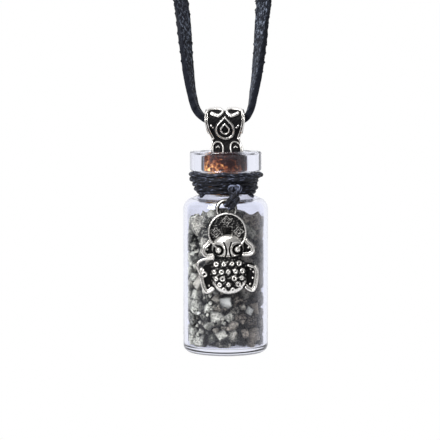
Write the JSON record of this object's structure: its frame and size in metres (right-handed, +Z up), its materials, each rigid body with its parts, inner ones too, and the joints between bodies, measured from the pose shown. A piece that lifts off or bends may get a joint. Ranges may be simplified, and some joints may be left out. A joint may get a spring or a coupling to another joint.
{
  "type": "bottle pendant",
  "caption": "Corked glass vial of mineral chips worn as a pendant, with a cast bail on a flat lace neck loop and a cast toad charm tied to the vial's neck with waxed thread.",
  "frame": {"origin": "where the nape of the wearer's neck bears on the underside of the clasp, at the top of the neck loop", "axes": "+Z up along the hanging pendant, +Y away from the viewer who faces the charm, +X to that viewer's right"},
  "size_m": [0.1252, 0.0209, 0.2164],
  "materials": {
    "suede_lace": "dyed split suede, matt nap with lighter flecks",
    "antique_silver": "cast, silver plated, blackened in the hollows and polished on the high places",
    "cork": "natural cork, toasted brown with darker pores",
    "clear_glass": "clear blown glass",
    "pyrite": "crushed pyrite, grey-olive with bright crystal faces",
    "waxed_thread": "waxed twisted cotton, dark navy"
  },
  "bodies": {
    "neck_loop": {"neck_cord": "suede_lace", "clasp": "antique_silver"},
    "pendant": {"bail": "antique_silver", "cork": "cork", "bottle": "clear_glass", "chips": "pyrite", "neck_winding": "waxed_thread", "tie": "waxed_thread", "toad_charm": "antique_silver"}
  },
  "joints": [
    {"name": "pendant_swing", "type": "hinge", "parent": "neck_loop", "child": "pendant", "pos_m": [0, 0, -0.161], "axis": [1, 0, 0], "range_deg": [-75, 75]}
  ]
}
